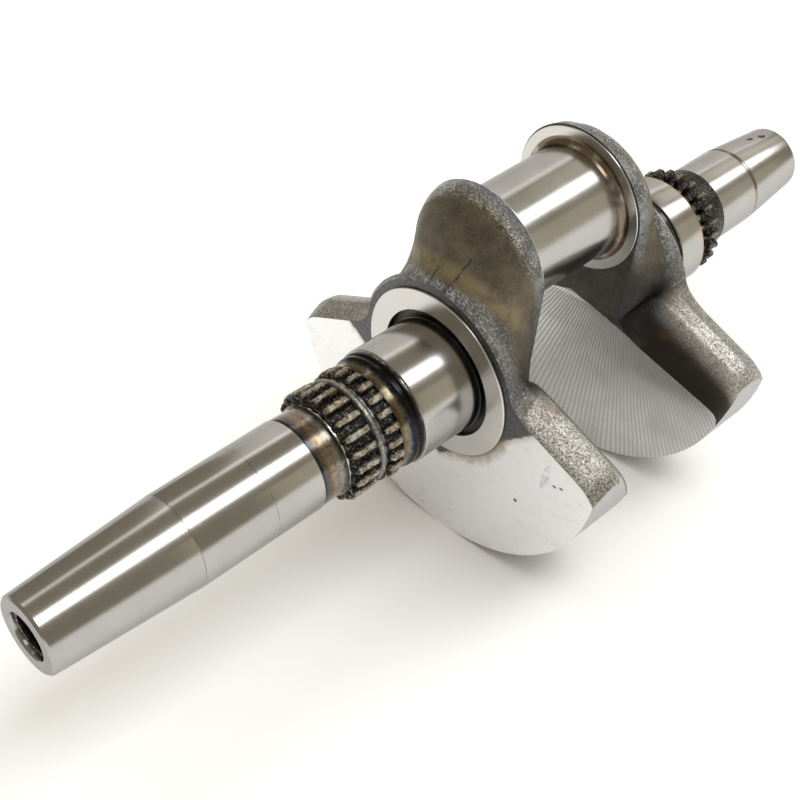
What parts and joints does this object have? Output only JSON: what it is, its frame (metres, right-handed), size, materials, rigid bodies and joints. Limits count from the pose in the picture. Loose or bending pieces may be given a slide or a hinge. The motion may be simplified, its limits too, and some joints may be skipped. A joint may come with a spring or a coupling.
{
  "type": "v-twin engine crankshaft",
  "caption": "One-throw plain-bearing crankshaft with tapered ends, toothed timing rings and two shouldered counterweights, for a small V-twin engine.",
  "frame": {"origin": "centre of the flat flywheel (magneto) end face, on the turning axis of the main journals", "axes": "+Y along the turning axis out of the flywheel end, so the drive (PTO) end is at -Y; +Z from the axis to the crankpin; +X completes the right-hand frame"},
  "size_m": [0.1406, 0.348, 0.1346],
  "materials": {
    "ground_steel": "cylindrically ground bare steel, bright, with a fine lay round the shaft",
    "machined_face": "milled or turned satin steel with fine cutter lines and light scuffs",
    "forged_skin": "shot-cleaned forged steel skin, dark grey-brown and granular, lighter on its edges",
    "heat_tinted_steel": "turned steel with brown, gold and blue tempering colours",
    "hardened_teeth": "induction-hardened cut teeth, blackened, with tan glints on the flanks",
    "black_recess": "black scale left in the undercuts"
  },
  "bodies": {
    "root": {"pto_taper": "ground_steel", "pto_seal_journal": "ground_steel", "pto_neck": "heat_tinted_steel", "pto_timing_sprocket": "hardened_teeth", "pto_collar": "hardened_teeth", "pto_pump_gear": "hardened_teeth", "pto_relief_neck": "heat_tinted_steel", "pto_main_journal": "ground_steel", "pto_undercut": "black_recess", "pto_thrust_ring": "ground_steel", "pto_web": "forged_skin", "pto_counterweight": "machined_face", "pto_cheek_ring": "ground_steel", "crankpin": "ground_steel", "mag_cheek_ring": "ground_steel", "mag_web": "forged_skin", "mag_counterweight": "machined_face", "mag_thrust_ring": "ground_steel", "mag_undercut": "black_recess", "mag_main_journal": "ground_steel", "mag_relief_neck": "heat_tinted_steel", "mag_timing_sprocket": "hardened_teeth", "mag_neck": "hardened_teeth", "mag_seal_journal": "ground_steel", "mag_relief_groove": "black_recess", "mag_taper": "ground_steel"}
  },
  "joints": []
}
